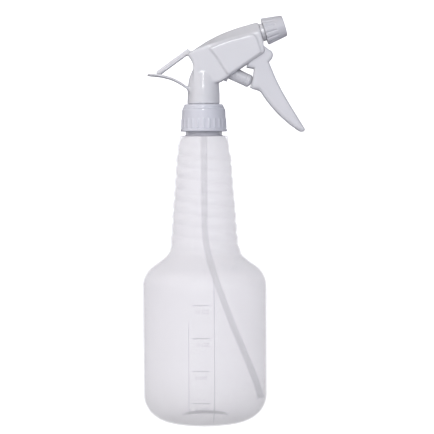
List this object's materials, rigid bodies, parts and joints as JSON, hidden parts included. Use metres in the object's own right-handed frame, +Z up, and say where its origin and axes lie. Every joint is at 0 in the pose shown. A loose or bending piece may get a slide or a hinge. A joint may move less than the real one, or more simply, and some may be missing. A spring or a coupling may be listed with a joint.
{
  "type": "trigger spray bottle",
  "caption": "Translucent bottle with a ribbed grip neck and a trigger spray head with an adjustable nozzle, for wetting and cleaning surfaces by hand.",
  "frame": {"origin": "centre of the base, on the plane the bottle stands on", "axes": "+Z up along the bottle's axis, +X the way the nozzle points, the head symmetric about the XZ plane"},
  "size_m": [0.1111, 0.085, 0.2762],
  "materials": {
    "bottle": "translucent milky polypropylene, satin",
    "closure": "moulded polypropylene, gloss",
    "shroud": "moulded polypropylene, gloss",
    "trigger": "moulded polypropylene, gloss",
    "nozzle": "moulded polypropylene, gloss",
    "white_plastic": "moulded polypropylene, satin",
    "piston": "moulded polyethylene, satin",
    "tube": "extruded translucent polyethylene",
    "cup": "soft polyethylene lip seal",
    "foam": "closed-cell foam liner",
    "ring": "elastomer ring",
    "steel": "stainless steel"
  },
  "bodies": {
    "bottle": {"bottle": "bottle"},
    "sprayer": {"pump_body": "white_plastic", "shroud": "shroud", "bottle_gasket": "foam", "tube_retainer": "white_plastic", "dip_tube": "tube", "nozzle_seat": "white_plastic", "swirl_core": "white_plastic", "return_spring": "steel"},
    "closure": {"closure": "closure"},
    "trigger": {"trigger": "trigger"},
    "piston": {"piston": "piston", "piston_cup_outer": "cup", "piston_cup_inner": "cup"},
    "nozzle_ring": {"nozzle_ring": "ring"},
    "nozzle_cap": {"nozzle_cap": "nozzle"},
    "inlet_ball": {"inlet_ball": "steel"},
    "outlet_ball": {"outlet_ball": "steel"}
  },
  "joints": [
    {"name": "sprayer_lift", "type": "slide", "parent": "bottle", "child": "sprayer", "axis": [0, 0, 1], "range_m": [0, 0.00528]},
    {"name": "closure_turn", "type": "hinge", "parent": "sprayer", "child": "closure", "pos_m": [0, 0, 0.207], "axis": [0, 0, 1], "range_deg": [0, 450]},
    {"name": "trigger_pull", "type": "hinge", "parent": "sprayer", "child": "trigger", "pos_m": [0.0395, 0, 0.2525], "axis": [0, 1, 0], "range_deg": [0, 22], "stiffness_Nm_per_rad": 0.35, "springref_deg": -17.19},
    {"name": "piston_stroke", "type": "slide", "parent": "sprayer", "child": "piston", "axis": [-0.9026, 0, 0.4305], "range_m": [0, 0.0088], "deforming": ["return_spring"]},
    {"name": "nozzle_advance", "type": "slide", "parent": "sprayer", "child": "nozzle_ring", "axis": [0.9563, 0, 0.2924], "range_m": [0, 0.00205]},
    {"name": "nozzle_turn", "type": "hinge", "parent": "nozzle_ring", "child": "nozzle_cap", "pos_m": [0.04, 0, 0.2649], "axis": [0.9563, 0, 0.2924], "range_deg": [0, 360]},
    {"name": "inlet_ball_lift", "type": "slide", "parent": "sprayer", "child": "inlet_ball", "axis": [0, 0, 1], "range_m": [0, 0.001]},
    {"name": "outlet_ball_lift", "type": "slide", "parent": "sprayer", "child": "outlet_ball", "axis": [0.9563, 0, 0.2924], "range_m": [0, 0.001]}
  ],
  "couplings": [
    {"joint": "closure_turn", "follows": "sprayer_lift", "rad_per_m": 1485.4},
    {"joint": "piston_stroke", "follows": "trigger_pull", "m_per_rad": 0.0227},
    {"joint": "nozzle_advance", "follows": "nozzle_turn", "m_per_rad": 0.00031831}
  ]
}
